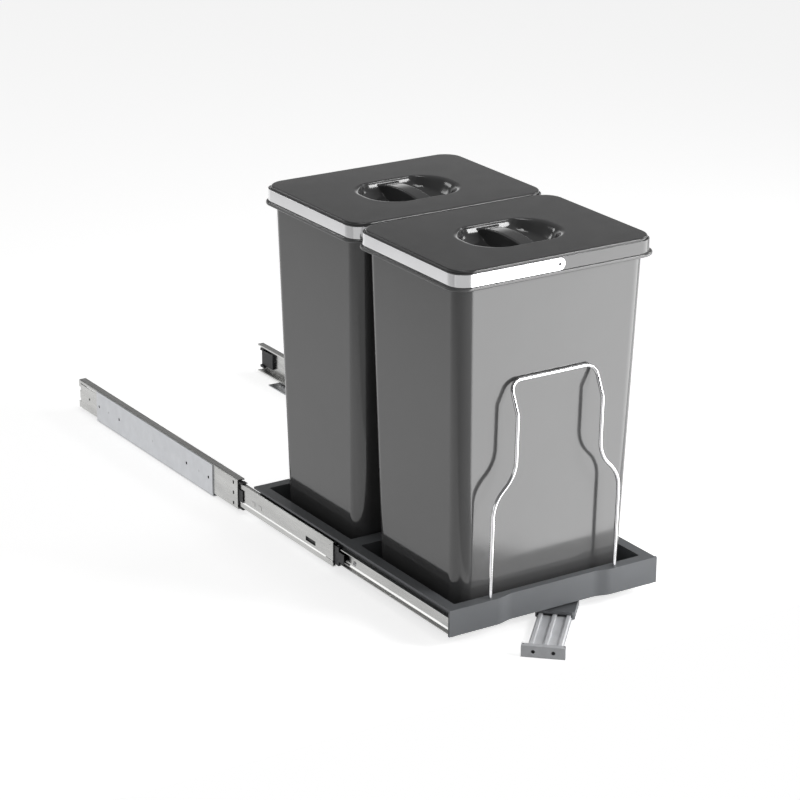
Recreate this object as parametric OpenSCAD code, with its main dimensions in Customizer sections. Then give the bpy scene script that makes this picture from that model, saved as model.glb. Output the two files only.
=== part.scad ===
// Built-in recycling bin: a floor-mounted pull-out frame with two lidded bins on ball-bearing slides.
// Millimetres, +Z up, +Y into the cabinet, +X to the right seen from the front, drawn fully pulled out.

/* [Frame] */
// Width of the frame's front panel, for a 400 mm cabinet
unit_w = 336; // [310:1:380]
// Depth of the frame, front face to rear edge
frame_d = 503; // [480:1:512]
// Height of the front panel, lower edge to rim
panel_h = 37; // [34:0.5:42]
// Gap from the cabinet floor to the panel's lower edge
floor_gap = 17.6; // [17.4:0.1:19]
// Thickness of the front panel
panel_t = 3.2; // [2.6:0.1:4]
// Width of the rim around the openings
rim_w = 16; // [14:0.5:18]
// Thickness of the rim plate
rim_t = 3.2; // [2.6:0.1:3.4]
// Width of the bar between the two openings
bar_w = 25; // [22:1:26]
// Distance of that bar's middle behind the middle of the gap between the lids
bar_shift = 5; // [0:0.5:5]
// Depth of the shallow recess in the middle of the front panel
recess_in = 5.5; // [3:0.5:6]
// Half width of the flat floor of that recess
recess_half = 65; // [50:1:70]
// Width of the support ledge under each bin
ledge_w = 34; // [28:1:40]

/* [Bins] */
// Distance from the frame's side to the end of a lid
lid_side = 13.65; // [12.8:0.05:20]
// Distance from the frame's rear edge to the rear lid's edge
lid_back = 14.3; // [12:0.1:20]
// Gap between the two lids
lid_gap = 6.6; // [6.4:0.1:8]
// Height of the lids' top face above the cabinet floor
lid_top = 505; // [420:1:560]
// Front edge of the front lid behind the panel's face
lid_y = 12.5; // [12:0.1:14]
// Corner radius of the lids
lid_r = 27; // [24:0.5:30]
// Wall thickness of the bins
bin_wall = 2.2; // [1.8:0.1:3]
// Draft of the bin walls, millimetres per millimetre of height
draft = 0.0272; // [0.02:0.001:0.03]
// Corner radius of a bin below its rim
bin_r = 22; // [18:0.5:26]
// Half length of the lid's grip recess
grip_a = 75; // [66:1:80]
// Half width of the lid's grip recess
grip_b = 52; // [48:1:58]
// Corner radius of the grip recess
grip_r = 46; // [36:1:47]
// Depth of the lid's grip recess
grip_h = 25; // [20:1:30]
// Half width of the bridge across the recess
bridge_half = 12; // [10:0.5:14]
// Radius of the crowned top of that bridge
bridge_crown = 225; // [180:5:400]
// Distance of the grip recess in front of the lid's middle
grip_shift = 7.5; // [0:0.5:8]

/* [Bails] */
// Height of the flat steel bail
bail_h = 16.6; // [14:0.2:18]
// Thickness of the bail strip
bail_t = 1; // [0.8:0.05:1.1]
// Gap between the bin's rim and the bail
bail_gap = 0.5; // [0.45:0.05:0.55]
// Radius of the bail pivots
pivot_r = 2; // [1.6:0.1:2.4]

/* [Slides] */
// Length of the cabinet rails and of the carriage rails
rail_l = 500; // [480:5:500]
// Height of the cabinet rail
rail_h = 46.2; // [45.8:0.1:46.4]
// Total thickness of a slide
rail_t = 12.7; // [12.5:0.1:12.9]
// Sheet thickness of the rails
sheet_t = 1.2; // [1:0.1:1.2]
// How much shorter the intermediate rail is than the other rails
mid_short = 50; // [45:5:80]
// Pull-out travel of the carriage
travel = 535; // [510:1:540]
// Height of the slides' centre line above the cabinet floor
rail_z = 27.2; // [27:0.1:27.4]
// Radius of the bearing balls
ball_r = 1.45; // [1.35:0.05:1.45]
// Balls in each row of a cage
balls = 9; // [5:1:12]

/* [Floor brackets] */
// Thickness of the bracket plate
plate_t = 1.9; // [1.5:0.1:2.2]
// Distance from the cabinet rail's front end to the bracket
plate_front = 70.8; // [66:0.2:80]
// Distance from the cabinet rail's rear end to the bracket
plate_back = 63.2; // [60:0.2:66]
// Width of the bracket's floor flange
flange_w = 31; // [28:1:36]
// Distance from the bracket's end to the nearer floor screw hole
floor_inset = 55; // [45:1:75]
// Radius of the screw holes in rails and brackets
screw_r = 2.25; // [2:0.05:2.5]

/* [Pull handle] */
// Radius of the handle wire
wire_r = 2.5; // [2.2:0.1:3]
// Half distance between the feet
foot_x = 100.5; // [96:0.5:104]
// Half distance between the uprights of the neck
neck_x = 67.2; // [62:0.2:72]
// Height of the bend at the top of the neck
knee_z = 300; // [280:1:320]
// Angle of the leaned-back top
lean_back = 26; // [20:1:28]
// Length of the leaned-back top
top_l = 42; // [36:1:44]

/* [Door link] */
// Angle between the arm and the pull direction as drawn
arm_angle = 43; // [30:1:50]
// Distance from the arm's pivot to its door plate
arm_out = 147; // [120:1:180]
// Length of the arm behind its pivot
arm_in = 92; // [80:1:100]
// Width of the aluminium profile
arm_w = 46; // [42:1:48]
// Width of the door plate
door_w = 58; // [54:1:64]
// Height of the door plate
door_h = 16; // [15:0.5:16.4]
// Distance between the door plate's screw holes
door_pitch = 26.4; // [20:0.2:32]

/* [Hidden] */
$fn = 48;
gap = 0.3;
eps = 0.01;
rim_z = floor_gap + panel_h;
half_w = unit_w / 2;
lid_w = unit_w - 2 * lid_side;
lid_d = (frame_d - lid_y - lid_gap - lid_back) / 2;
mid_l = rail_l - mid_short;
plate_l = rail_l - plate_front - plate_back;
floor_pitch = plate_l - 2 * floor_inset;
ch_x = half_w + 0.6;
wall_x = ch_x - rail_t;
open_x = wall_x - 5.6;
rim_x = half_w - 1.6;
ledge_z = floor_gap + 0.4;
ledge_t = 2.5;
bin_mid = lid_y + lid_d / 2;
bin_step = lid_d + lid_gap;
bar_y = lid_y + lid_d + lid_gap / 2 + bar_shift;
pad_h = 1.2;
bin_z = ledge_z + ledge_t + pad_h + gap;
rim_out = 0.7;
rim_wall = 2.4;
lid_lip = 3.4;
lip_z = lid_top - lid_lip;
bail_top = lid_top - 4.4;
bail_z = bail_top - bail_h / 2;
seat_z = bail_top - bail_h - 0.4;
seat_t = 5;
seat_x = 5.6;
seat_y = 2.9;
body_w = lid_w - 14.8;
body_d = lid_d - 12.8;
body_h = seat_z - seat_t - bin_z;
bail_out = rim_out + bail_gap + bail_t;
bail_r = 22;
pivot_len = bail_gap + bail_t;
track_r = 1.75;
track_v = 20.05;
track_u = 5.8;
track2_v = 13.35;
track2_u = 9.4;
rail_y = panel_t;
ch_y = rail_y + travel + 8.5;
mid_y = rail_y + travel / 2 + 20;
cage1_y = ch_y - 12;
cage1_l = 172;
cage2_y = mid_y - 25;
cage2_l = 200;
br_y = ch_y + plate_front;
piv_x = 20;
piv_y = 22;
screw_end = min(frame_d, rail_y + rail_l);
screw_y = [screw_end - 255.5, screw_end - 128, screw_end - 23];
arm_z = 1.2;
arm_top = 9.4;
skid_z = arm_top + gap;
skid_top = 13.6;
skid_l = 56;
front_y = piv_y - door_w / 2 * sin(arm_angle) - arm_out * cos(arm_angle);
rear_y = ch_y + rail_l;
mid_origin = (front_y + rear_y) / 2;

// ---- shared helpers

module at_origin() {
    translate([0, -mid_origin, 0])
        children();
}

module both_sides() {
    children();
    mirror([1, 0, 0])
        children();
}

module rr(w, d, r) {
    square([w - 2 * r, d], center = true);
    square([w, d - 2 * r], center = true);
    for (sx = [-1, 1], sy = [-1, 1])
        translate([sx * (w / 2 - r), sy * (d / 2 - r)])
            circle(r);
}

// Sweeps a section around a rounded rectangle; the section's x is measured from the corner centres.
module around(w, d, r) {
    for (s = [0, 1])
        rotate([0, 0, s * 180]) {
            translate([w / 2 - r, 0, 0])
                rotate([90, 0, 0])
                    linear_extrude(d - 2 * r, center = true)
                        children();
            translate([0, d / 2 - r, 0])
                rotate([0, 0, 90])
                    rotate([90, 0, 0])
                        linear_extrude(w - 2 * r, center = true)
                            children();
            translate([w / 2 - r, d / 2 - r, 0])
                rotate_extrude(angle = 90)
                    children();
            translate([-w / 2 + r, d / 2 - r, 0])
                rotate([0, 0, 90])
                    rotate_extrude(angle = 90)
                        children();
        }
}

// Extrudes a slide section (u from the cabinet side, v from the slide's centre) along the left slide.
module along(y, l) {
    translate([-ch_x, y + l, rail_z])
        rotate([90, 0, 0])
            linear_extrude(l)
                children();
}

module box_uv(u0, u1, v0, v1) {
    translate([u0, v0])
        square([u1 - u0, v1 - v0]);
}

// The same box above and below the slide's centre line.
module pair_uv(u0, u1, v0, v1) {
    box_uv(u0, u1, v0, v1);
    box_uv(u0, u1, -v1, -v0);
}

// What a bend of radius r takes off a sharp corner; the sheet lies towards su and sv.
module bend(u, v, su, sv, r) {
    translate([u, v])
        difference() {
            translate([su > 0 ? -1 : 1 - r - 1, sv > 0 ? -1 : 1 - r - 1])
                square(r + 1);
            translate([su * r, sv * r])
                circle(r);
        }
}

module side_hole(y, v, r) {
    translate([-ch_x - plate_t - 1, y, rail_z + v])
        rotate([0, 90, 0])
            cylinder(h = rail_t + 30, r = r);
}

// ---- cabinet side: brackets, rails, rivets, dampers

side_holes = [br_y + 11.6, br_y + 77.7, br_y + plate_l - 74.7, br_y + plate_l - 8.6];
floor_holes = [br_y + (plate_l - floor_pitch) / 2, br_y + (plate_l + floor_pitch) / 2];
rivet_ys = [br_y + 40, br_y + plate_l / 2, br_y + plate_l - 40];
floor_x = ch_x + plate_t - flange_w + 8;

module bracket() {
    bend = 3;
    difference() {
        union() {
            translate([-ch_x - plate_t, br_y, bend])
                cube([plate_t, plate_l, rail_z + rail_h / 2 - bend]);
            translate([-ch_x - plate_t + bend, br_y, 0])
                cube([flange_w - bend, plate_l, plate_t]);
            translate([-ch_x - plate_t + bend, br_y + plate_l, bend])
                rotate([90, 0, 0])
                    linear_extrude(plate_l)
                        intersection() {
                            difference() {
                                circle(bend);
                                circle(bend - plate_t);
                            }
                            translate([-bend, -bend])
                                square(bend);
                        }
        }
        for (y = side_holes)
            side_hole(y, 0, screw_r);
        for (y = floor_holes)
            translate([-floor_x, y, -1])
                cylinder(h = plate_t + 2, r = screw_r);
        for (y = rivet_ys)
            side_hole(y, 0, 1.5);
    }
}

module p_outer() {
    f = 1.6;
    hh = rail_h / 2;
    difference() {
        union() {
            box_uv(0, sheet_t, -hh, hh);
            pair_uv(0, rail_t - 1, hh - f, hh);
            pair_uv(rail_t - 2.1, rail_t - 0.9, hh - f - 0.8, hh);
        }
        for (s = [-1, 1]) {
            translate([track_u, s * track_v])
                circle(track_r);
            bend(0, s * hh, 1, -s, 2);
        }
    }
}

module cabinet_rail() {
    difference() {
        along(ch_y, rail_l)
            p_outer();
        for (y = side_holes)
            side_hole(y, 0, screw_r);
        for (y = rivet_ys)
            side_hole(y, 0, 1.5);
        side_hole(rear_y - 35, 0, 2);
        for (v = [-16, 0, 16])
            translate([-ch_x - 1, ch_y + 10, rail_z + v - 2.5])
                cube([sheet_t + 2, 3.6, 5]);
        translate([-ch_x - 1, rear_y - 56, rail_z + 17])
            cube([sheet_t + 2, 50, 1.6]);
        for (v = [-12, 6])
            translate([-ch_x - 1, rear_y - 6, rail_z + v])
                cube([sheet_t + 2, 7, 6]);
        translate([-ch_x - 1, rear_y - 3, rail_z - 6])
            cube([sheet_t + 2, 4, 12]);
    }
}

module rivets() {
    for (y = rivet_ys)
        translate([-ch_x, y, rail_z])
            rotate([0, 90, 0]) {
                translate([0, 0, -plate_t])
                    cylinder(h = plate_t + sheet_t, r = 1.45);
                translate([0, 0, sheet_t])
                    cylinder(h = 0.1, r = 2.6);
            }
}

module damper() {
    along(rear_y - 37, 34) {
        box_uv(sheet_t, 5.9, -12.5, 12.5);
    }
    along(rear_y - 12, 10)
        box_uv(sheet_t, 8.4, -16.5, -12.5);
    along(rear_y - 12, 10)
        box_uv(sheet_t, 8.4, 12.5, 16.5);
}

module bracket_left() {
    color([0.78, 0.79, 0.82])
        at_origin()
            bracket();
}

module bracket_right() {
    color([0.78, 0.79, 0.82])
        at_origin()
            mirror([1, 0, 0])
                bracket();
}

module cabinet_rail_left() {
    color([0.72, 0.72, 0.71])
        at_origin()
            cabinet_rail();
}

module cabinet_rail_right() {
    color([0.72, 0.72, 0.71])
        at_origin()
            mirror([1, 0, 0])
                cabinet_rail();
}

module bracket_rivets() {
    color([0.7, 0.7, 0.7])
        at_origin()
            both_sides()
                rivets();
}

module damper_left() {
    color([0.06, 0.06, 0.07])
        at_origin()
            damper();
}

module damper_right() {
    color([0.06, 0.06, 0.07])
        at_origin()
            mirror([1, 0, 0])
                damper();
}

// ---- intermediate rails, ball cages and balls

module p_mid() {
    difference() {
        union() {
            box_uv(3.4, 3.4 + sheet_t, -10.2, 18.6);
            box_uv(2.7, 2.7 + sheet_t, -18.6, -9.4);
            box_uv(3.4, 8.2, 17, 18.6);
            box_uv(2.7, 8.2, -18.6, -17);
            pair_uv(7, 8.2, 14.8, 18.6);
            pair_uv(7, 11, 14.8, 16.4);
        }
        for (s = [-1, 1]) {
            translate([track_u, s * track_v])
                circle(track_r);
            translate([track2_u, s * track2_v])
                circle(track_r);
        }
        bend(3.4, 18.6, 1, -1, 1.5);
        bend(2.7, -18.6, 1, 1, 1.5);
        bend(2.7, -9.4, 1, -1, 0.7);
    }
}

module mid_rail() {
    difference() {
        along(mid_y, mid_l)
            p_mid();
        translate([-ch_x + 2, mid_y + 46, rail_z - 4.5])
            cube([4, 26, 6.5]);
        translate([-ch_x + 2, mid_y + 9, rail_z])
            rotate([0, 90, 0])
                difference() {
                    cylinder(h = 4, r = 12);
                    translate([0, -4, -1])
                        cylinder(h = 6, r = 12);
                    translate([-13, 0, -1])
                        cube([26, 20, 6]);
                }
    }
    for (y = [0.431, 0.471])
        translate([-ch_x + 3, mid_y + y * mid_l, rail_z - 4])
            cube([0.6, 8, 6]);
    translate([-ch_x + 2.6, mid_y + 6, rail_z - 13.4])
        rotate([0, 90, 0])
            cylinder(h = 1.4, r1 = 1.6, r2 = 2.4);
}

module outer_cage() {
    difference() {
        union() {
            along(cage1_y, cage1_l) {
                box_uv(1.6, 2.3, -20.5, 20.5);
                pair_uv(1.6, 8.6, 19.6, 20.5);
            }
            along(cage1_y, 10)
                pair_uv(1.6, 10, 19.6, 20.5);
        }
        cage_holes(cage1_y, cage1_l, track_u, track_v);
        along(cage1_y - 1, 11)
            pair_uv(1, 3, 9, 18.4);
    }
}

module cage_holes(y, l, u, v) {
    for (i = [0 : balls - 1], s = [-1, 1])
        translate([-ch_x + u, ball_y(y, l, i), rail_z + s * v - 2])
            cylinder(h = 4, r = 1.5);
}

function ball_y(y, l, i) = y + 20 + i * (l - 30) / (balls - 1);

module ball_rows(y, l, u, v) {
    for (i = [0 : balls - 1], s = [-1, 1])
        translate([-ch_x + u, ball_y(y, l, i), rail_z + s * v])
            sphere(ball_r);
}

module inner_cage() {
    difference() {
        along(cage2_y, cage2_l) {
            box_uv(5.2, 6.2, -13.8, 13.8);
            pair_uv(5.2, 10.8, 12.9, 13.8);
        }
        cage_holes(cage2_y, cage2_l, track2_u, track2_v);
        along(cage2_y - 1, 14)
            pair_uv(5, 12, 7.5, 15);
    }
}

module mid_rail_left() {
    color([0.74, 0.74, 0.73])
        at_origin()
            mid_rail();
}

module mid_rail_right() {
    color([0.74, 0.74, 0.73])
        at_origin()
            mirror([1, 0, 0])
                mid_rail();
}

module outer_cage_left() {
    color([0.06, 0.06, 0.07])
        at_origin()
            outer_cage();
}

module outer_cage_right() {
    color([0.06, 0.06, 0.07])
        at_origin()
            mirror([1, 0, 0])
                outer_cage();
}

module outer_balls_left() {
    color([0.85, 0.85, 0.86])
        at_origin()
            ball_rows(cage1_y, cage1_l, track_u, track_v);
}

module outer_balls_right() {
    color([0.85, 0.85, 0.86])
        at_origin()
            mirror([1, 0, 0])
                ball_rows(cage1_y, cage1_l, track_u, track_v);
}

module inner_cage_left() {
    color([0.06, 0.06, 0.07])
        at_origin()
            inner_cage();
}

module inner_cage_right() {
    color([0.06, 0.06, 0.07])
        at_origin()
            mirror([1, 0, 0])
                inner_cage();
}

module inner_balls_left() {
    color([0.85, 0.85, 0.86])
        at_origin()
            ball_rows(cage2_y, cage2_l, track2_u, track2_v);
}

module inner_balls_right() {
    color([0.85, 0.85, 0.86])
        at_origin()
            mirror([1, 0, 0])
                ball_rows(cage2_y, cage2_l, track2_u, track2_v);
}

// ---- carriage: frame, carriage rails, screws, pads, handle, pin

open_a = [rim_w, bar_y - bar_w / 2];
open_b = [bar_y + bar_w / 2, frame_d - rim_w];

module opening(ys, inset) {
    translate([0, (ys[0] + ys[1]) / 2, 0])
        rr(2 * (open_x - inset), ys[1] - ys[0] - 2 * inset, 3);
}

// The recess in the front panel rises in a soft wave at each side.
wave_n = 8;
wave_w = 28;
function wave(i) = recess_in * (1 - cos(180 * i / wave_n)) / 2;

module front_line(y) {
    polygon(concat([[-half_w, y]],
        [for (i = [0 : wave_n]) [-recess_half - wave_w * (1 - i / wave_n), y + wave(i)]],
        [for (i = [0 : wave_n]) [recess_half + wave_w * i / wave_n, y + wave(wave_n - i)]],
        [[half_w, y], [half_w, frame_d], [-half_w, frame_d]]));
}

module frame_body() {
    difference() {
        union() {
            // front panel
            translate([0, 0, floor_gap])
                linear_extrude(panel_h)
                    difference() {
                        front_line(0);
                        front_line(panel_t);
                    }
            // rim plate with its two openings
            translate([0, 0, rim_z - rim_t])
                linear_extrude(rim_t)
                    difference() {
                        intersection() {
                            front_line(0);
                            translate([-rim_x, 0])
                                square([2 * rim_x, frame_d]);
                        }
                        opening(open_a, 0);
                        opening(open_b, 0);
                    }
            // walls between the rim and the ledge
            translate([0, 0, ledge_z])
                linear_extrude(rim_z - ledge_z - eps)
                    difference() {
                        intersection() {
                            front_line(0.5);
                            translate([-wall_x, 0])
                                square([2 * wall_x, frame_d]);
                        }
                        opening(open_a, 0);
                        opening(open_b, 0);
                        translate([-open_x, open_a[1] + 3])
                            square([2 * open_x, bar_w - 6]);
                        translate([-open_x, frame_d - rim_w + 3])
                            square([2 * open_x, rim_w - 6]);
                    }
            // support ledge
            translate([0, 0, ledge_z])
                linear_extrude(ledge_t)
                    difference() {
                        translate([-wall_x, panel_t])
                            square([2 * wall_x, frame_d - panel_t]);
                        opening(open_a, ledge_w);
                        opening(open_b, ledge_w);
                    }
            // top of the bar and rear box
            translate([-open_x, open_a[1], rim_z - rim_t])
                cube([2 * open_x, bar_w, rim_t]);
            translate([piv_x, piv_y, skid_top + 0.4])
                cylinder(h = ledge_z - skid_top, r = 9);
        }
        translate([0, 0, floor_gap - 1])
            linear_extrude(panel_h + 2)
                difference() {
                    translate([-recess_half - 30, -5])
                        square([2 * recess_half + 60, 5 + recess_in]);
                    front_line(0);
                }
        translate([piv_x, piv_y, 0])
            cylinder(h = 30, r = 3);
        both_sides()
            translate([foot_x, foot_y, 0]) {
                translate([0, 0, rim_z])
                    rotate([handle_tilt, 0, 0])
                        translate([0, 0, 36 - rim_z])
                            cylinder(h = 30, r = wire_r + 0.1);
                cylinder(h = 40, r = 2.1);
                cylinder(h = ledge_z + 2, r = 3.6);
            }
        for (y = screw_y)
            translate([-half_w, y, rail_z])
                rotate([0, 90, 0]) {
                    cylinder(h = half_w - open_x + 1, r = 1.8);
                    translate([0, 0, 2 * open_x - 1])
                        cylinder(h = 2 * half_w, r = 1.8);
                }
    }
}

foot_y = 6.4;
handle_tilt = 1.4;

module p_inner() {
    difference() {
        union() {
            box_uv(rail_t - sheet_t, rail_t, -11.9, 11.9);
            pair_uv(7, rail_t, 10.5, 11.9);
        }
        for (s = [-1, 1])
            translate([track2_u, s * track2_v])
                circle(track_r);
    }
}

module carriage_rail() {
    difference() {
        along(rail_y, rail_l)
            p_inner();
        for (y = screw_y)
            side_hole(y, 0, 2);
    }
}

module carriage_screws() {
    for (y = screw_y)
        translate([-ch_x + rail_t - sheet_t, y, rail_z])
            rotate([0, 90, 0]) {
                difference() {
                    translate([0, 0, -1.2])
                        cylinder(h = 1.2, r1 = 2.8, r2 = 3.6);
                    translate([0, 0, -1.3])
                        cylinder(h = 1, r = 1.5);
                }
                cylinder(h = 6, r = 1.75);
            }
}

module pads() {
    for (m = [0, bin_step], sx = [-1, 1], sy = [-1, 1])
        translate([sx * (body_w / 2 - draft * body_h - 12), bin_mid + m + sy * (body_d / 2 - draft * body_h - 10),
            ledge_z + ledge_t])
            cylinder(h = pad_h, r = 5);
}

// The shoulders: two equal arcs with a short straight between them.
sh_z0 = 168;
sh_a = 45;
sh_l = 6;
sh_r = (foot_x - neck_x - sh_l * sin(sh_a)) / (2 * (1 - cos(sh_a)));
sh_dx = sh_r * (1 - cos(sh_a));
sh_dz = sh_r * sin(sh_a);
sh_z1 = sh_z0 + 2 * sh_dz + sh_l * cos(sh_a);
knee_r = 14;
top_r = 15.5;

module arc(r, a0, a) {
    rotate([90, 0, 0])
        rotate([0, 0, a0])
            rotate_extrude(angle = a)
                translate([r, 0])
                    circle(wire_r);
}

// Upset joint between two lengths of wire, a hair thicker than the wire, turned to the wire's line.
module joint(x, z, turn = 0) {
    translate([x, 0, z])
        rotate([0, turn, 0])
            sphere(wire_r + 0.03);
}

// One upright, s = 1 on the right and -1 on the left.
module upright(s) {
    joint(s * foot_x, sh_z0 - rim_z);
    joint(s * (foot_x - sh_dx), sh_z0 - rim_z + sh_dz, -s * sh_a);
    joint(s * (neck_x + sh_dx), sh_z1 - rim_z - sh_dz, -s * sh_a);
    joint(s * neck_x, sh_z1 - rim_z);
    joint(s * neck_x, knee_z - rim_z);
    translate([s * foot_x, 0, 40 - rim_z])
        cylinder(h = sh_z0 - 40, r = wire_r);
    translate([s * (foot_x - sh_r), 0, sh_z0 - rim_z])
        arc(sh_r, s > 0 ? 0 : 180 - sh_a, sh_a);
    translate([s * (foot_x - sh_dx), 0, sh_z0 - rim_z + sh_dz])
        rotate([0, -s * sh_a, 0])
            cylinder(h = sh_l, r = wire_r);
    translate([s * (neck_x + sh_r), 0, sh_z1 - rim_z])
        arc(sh_r, s > 0 ? 180 : -sh_a, sh_a);
    translate([s * neck_x, 0, sh_z1 - rim_z])
        cylinder(h = knee_z - sh_z1, r = wire_r);
    translate([s * neck_x, knee_r, knee_z - rim_z])
        rotate([90, 0, -90])
            rotate_extrude(angle = lean_back)
                translate([knee_r, 0])
                    circle(wire_r);
    leaned() {
        joint(s * neck_x, 0);
        joint(s * neck_x, top_l - top_r);
        joint(s * (neck_x - top_r), top_l, 90);
        translate([s * neck_x, 0, 0])
            cylinder(h = top_l - top_r, r = wire_r);
        translate([s * (neck_x - top_r), 0, top_l - top_r])
            arc(top_r, s > 0 ? 0 : 90, 90);
    }
}

module leaned() {
    translate([0, knee_r, knee_z - rim_z])
        rotate([-lean_back, 0, 0])
            translate([0, -knee_r, 0])
                children();
}

module wire() {
    for (s = [-1, 1])
        upright(s);
    leaned()
        translate([top_r - neck_x, 0, top_l])
            rotate([0, 90, 0])
                cylinder(h = 2 * (neck_x - top_r), r = wire_r);
}

module screws_below() {
    both_sides()
        translate([foot_x, foot_y, ledge_z + 2 - 2.2]) {
            cylinder(h = 2.2, r = 3.4);
            cylinder(h = 40 - ledge_z - 0.3, r = 1.95);
        }
}

module frame() {
    color([0.42, 0.44, 0.46])
        at_origin()
            frame_body();
}

module carriage_rail_left() {
    color([0.76, 0.76, 0.75])
        at_origin()
            carriage_rail();
}

module carriage_rail_right() {
    color([0.76, 0.76, 0.75])
        at_origin()
            mirror([1, 0, 0])
                carriage_rail();
}

module rail_screws() {
    color([0.6, 0.6, 0.6])
        at_origin()
            both_sides()
                carriage_screws();
}

module bin_pads() {
    color([0.1, 0.1, 0.1])
        at_origin()
            pads();
}

module pull_handle() {
    color([0.9, 0.9, 0.91])
        at_origin()
            translate([0, foot_y, rim_z])
                rotate([handle_tilt, 0, 0])
                    wire();
}

module handle_screws() {
    color([0.6, 0.6, 0.6])
        at_origin()
            screws_below();
}

module skid_pin() {
    color([0.7, 0.7, 0.7])
        at_origin()
            translate([piv_x, piv_y, skid_z + 0.3]) {
                cylinder(h = ledge_z + ledge_t - skid_z + 1, r = 3);
                cylinder(h = 1.2, r = 5);
            }
}

// ---- door link: skid, arm profile, door plate

module on_arm() {
    at_origin()
        translate([piv_x, piv_y, 0])
            rotate([0, 0, -arm_angle])
                children();
}

// The same box on both sides of the arm's centre line.
module twin_uv(x0, x1, z0, z1) {
    box_uv(x0, x1, z0, z1);
    box_uv(-x1, -x0, z0, z1);
}

module across(y, l) {
    translate([0, y + l, 0])
        rotate([90, 0, 0])
            linear_extrude(l)
                children();
}

module skid() {
    color([0.08, 0.08, 0.09])
        on_arm()
            difference() {
                union() {
                    across(-skid_l / 2, skid_l) {
                        box_uv(-arm_w / 2 - 3.4, arm_w / 2 + 3.4, skid_z, skid_top);
                        twin_uv(arm_w / 2 + gap + 0.1, arm_w / 2 + 3.4, 2.6, skid_top);
                        twin_uv(arm_w / 2 - 1.1, arm_w / 2 + 1, 3.8, 5.2);
                    }
                }
                translate([0, 0, skid_z - 1])
                    cylinder(h = 10, r = 3.05);
                translate([0, 0, skid_z - 1])
                    cylinder(h = 2.8, r = 5.4);
                for (sx = [-1, 1], sy = [-1, 1])
                    translate([sx * (arm_w / 2 + 3.4), sy * skid_l / 2, 0])
                        rotate([0, 0, 45])
                            cube([5, 5, 40], center = true);
            }
}

module p_arm() {
    difference() {
        union() {
            box_uv(-arm_w / 2, arm_w / 2, arm_z, 6.2);
            for (x = [-arm_w / 2 + 4.2, 0, arm_w / 2 - 4.2]) {
                box_uv(x - 3, x + 3, arm_z, arm_top - 1.5);
                box_uv(x - 1.5, x + 1.5, arm_z, arm_top);
                for (s = [-1, 1])
                    translate([x + s * 1.5, arm_top - 1.5])
                        circle(1.5);
            }
        }
        twin_uv(arm_w / 2 - 1.5, arm_w / 2 + 1, 3.4, 5.6);
        twin_uv(4.4, arm_w / 2 - 8.8, arm_z - 1, 4.2);
    }
}

module arm_profile() {
    color([0.72, 0.73, 0.75])
        on_arm()
            across(-arm_out + 3.6, arm_out + arm_in - 3.6)
                p_arm();
}

module door_plate() {
    back = 3.6;
    deep = 5;
    end_w = 9;
    color([0.5, 0.5, 0.52])
        on_arm()
            difference() {
                union() {
                    translate([-door_w / 2, -arm_out, 0.6])
                        cube([door_w, back, door_h]);
                    translate([-door_w / 2, -arm_out + back - 0.1, door_h - 1.2])
                        cube([door_w, deep + 0.1, 1.8]);
                    for (s = [-1, 1])
                        translate([s * (door_w / 2 - end_w / 2) - end_w / 2, -arm_out + back - 0.1, arm_top + 0.1])
                            cube([end_w, deep + 0.1, door_h + 0.5 - arm_top]);
                    for (s = [-1, 1])
                        translate([s * (door_w / 2 - 2.4) - 2.4, -arm_out + back - 0.1, 0.6])
                            cube([4.8, deep + 0.1, door_h]);
                }
                for (s = [-1, 1]) {
                    translate([s * door_pitch / 2, -arm_out - 1, 8.6])
                        rotate([-90, 0, 0])
                            cylinder(h = 10, r = 2.6);
                    translate([s * (door_w / 2 - 2.4), -arm_out + 6, 5])
                        cylinder(h = 30, r = 1.1);
                }
            }
}

module plate_pins() {
    color([0.05, 0.05, 0.05])
        on_arm()
            for (s = [-1, 1])
                translate([s * (door_w / 2 - 2.4), -arm_out + 6, 5])
                    cylinder(h = door_h + 0.6 - 5.4, r = 1.1);
}

module arm_end_stop() {
    color([0.08, 0.08, 0.09])
        on_arm()
            translate([0, arm_in, 0])
                across(0, 6)
                    box_uv(-arm_w / 2 - 2, arm_w / 2 + 2, arm_z, arm_top + 1.6);
}

// ---- bins, bails and lids, drawn about the bin's own axis

// Section of the bin's rim, a wall with a rounded top; x from the corner centre.
module p_rim(r) {
    x1 = r + rim_out;
    box_uv(x1 - rim_wall, x1, seat_z - seat_t, lip_z - 1.2);
    translate([x1 - rim_wall / 2, lip_z - 1.2 - 0.3])
        circle(rim_wall / 2);
    box_uv(x1 - rim_wall - 2, x1 + 0.1, seat_z - seat_t, seat_z - seat_t + 2.4);
}

// Section of the bead that the bail rests on; it reaches further out at the two ends.
module p_bead(r) {
    low = seat_z - seat_t;
    box_uv(r + rim_out - rim_wall - seat_x + seat_y + 0.1, r + seat_y - 1.2, low, seat_z);
    box_uv(r + seat_y - 1.3, r + seat_y, low + 1.2, seat_z - 1.2);
    for (z = [seat_z - 1.2, low + 1.2])
        translate([r + seat_y - 1.2, z])
            circle(1.2);
}

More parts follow.
